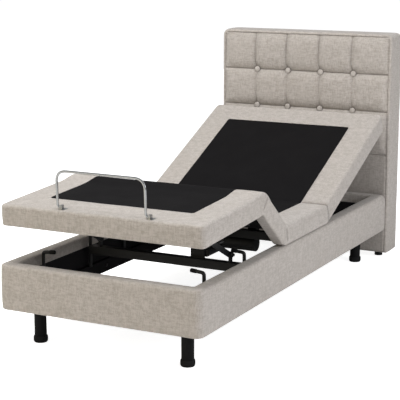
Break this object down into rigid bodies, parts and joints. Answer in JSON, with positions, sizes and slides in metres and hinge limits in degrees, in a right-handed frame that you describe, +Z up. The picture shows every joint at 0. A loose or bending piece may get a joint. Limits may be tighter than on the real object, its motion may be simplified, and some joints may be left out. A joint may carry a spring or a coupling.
{
  "type": "adjustable bed base",
  "caption": "Single adjustable bed base in woven fabric, with a buttoned headboard and a deck that folds at the back, thigh and knee.",
  "frame": {"origin": "centre of the bounding box's bottom face, on the floor", "axes": "+Z up, +Y towards the headboard, +X towards the right side seen from the foot end"},
  "size_m": [0.92, 2.2, 1.13],
  "materials": {
    "box_fabric": "matte",
    "headboard_fabric": "matte",
    "deck_fabric": "matte",
    "panel_cloth": "matte",
    "black_wood": "matte",
    "zinc_steel": "satin",
    "chrome_rod": "polished",
    "black_plastic": "matte",
    "leg_paint": "satin",
    "frame_paint": "satin"
  },
  "bodies": {
    "base": {"back_hinge_leaf_seat": "frame_paint", "back_motor_housing": "black_plastic", "batten_left": "black_wood", "batten_right": "black_wood", "crossbar_front": "frame_paint", "foot_rail": "box_fabric", "head_rail": "box_fabric", "headboard": "headboard_fabric", "headboard_glide_left": "black_plastic", "headboard_glide_right": "black_plastic", "leg_actuator_motor": "black_plastic", "leg_actuator_tube": "zinc_steel", "leg_foot_left": "leg_paint", "leg_foot_right": "leg_paint", "leg_head_left": "leg_paint", "leg_head_right": "leg_paint", "rest_rod_foot_left": "frame_paint", "rest_rod_foot_right": "frame_paint", "rest_rod_knee_left": "frame_paint", "rest_rod_knee_right": "frame_paint", "seat_board": "deck_fabric", "seat_crossbar": "frame_paint", "seat_panel": "panel_cloth", "seat_post_left": "frame_paint", "seat_post_right": "frame_paint", "seat_side_left": "deck_fabric", "seat_side_right": "deck_fabric", "side_rail_left": "box_fabric", "side_rail_right": "box_fabric", "thigh_hinge_leaf_seat": "frame_paint"},
    "back": {"back_board": "deck_fabric", "back_end_member": "deck_fabric", "back_hinge_leaf_back": "frame_paint", "back_lever": "frame_paint", "back_panel": "panel_cloth", "back_side_left": "deck_fabric", "back_side_right": "deck_fabric"},
    "thigh": {"knee_hinge_leaf_thigh": "frame_paint", "thigh_board": "deck_fabric", "thigh_hinge_leaf_thigh": "frame_paint", "thigh_lever": "frame_paint", "thigh_panel": "panel_cloth", "thigh_side_left": "deck_fabric", "thigh_side_right": "deck_fabric"},
    "calf": {"calf_board": "deck_fabric", "calf_bracket_left": "frame_paint", "calf_bracket_right": "frame_paint", "calf_end_member": "deck_fabric", "calf_panel": "panel_cloth", "calf_side_left": "deck_fabric", "calf_side_right": "deck_fabric", "knee_hinge_leaf_calf": "frame_paint", "retainer_bar": "chrome_rod", "retainer_bracket_left": "zinc_steel", "retainer_bracket_right": "zinc_steel"},
    "stay_links": {"stay_link_left": "frame_paint", "stay_link_right": "frame_paint"},
    "leg_rod": {"leg_actuator_rod": "zinc_steel"},
    "back_rod": {"back_actuator_rod": "zinc_steel"}
  },
  "joints": [
    {"name": "back_tilt", "type": "hinge", "parent": "base", "child": "back", "pos_m": [0, 0.14, 0.42], "axis": [1, 0, 0], "range_deg": [-24, 38]},
    {"name": "thigh_tilt", "type": "hinge", "parent": "base", "child": "thigh", "pos_m": [0, -0.305, 0.415], "axis": [-1, 0, 0], "range_deg": [-38.5, 1.5]},
    {"name": "knee_fold", "type": "hinge", "parent": "thigh", "child": "calf", "pos_m": [0, -0.54222, 0.52319], "axis": [1, 0, 0], "range_deg": [-41.4, 1.7]},
    {"name": "stay_swing", "type": "hinge", "parent": "base", "child": "stay_links", "pos_m": [0, -0.5546, 0.3385], "axis": [-1, 0, 0], "range_deg": [-41.1, 1.7]},
    {"name": "leg_rod_travel", "type": "slide", "parent": "base", "child": "leg_rod", "axis": [0, -1, 0], "range_m": [-0.0587, 0.0024]},
    {"name": "back_rod_travel", "type": "slide", "parent": "base", "child": "back_rod", "axis": [0, 1, 0], "range_m": [-0.0614, 0.0971]}
  ],
  "couplings": [
    {"joint": "knee_fold", "follows": "thigh_tilt", "ratio": 1.0727},
    {"joint": "stay_swing", "follows": "thigh_tilt", "ratio": 1.064},
    {"joint": "leg_rod_travel", "follows": "thigh_tilt", "m_per_rad": 0.08707},
    {"joint": "back_rod_travel", "follows": "back_tilt", "m_per_rad": 0.1461}
  ]
}
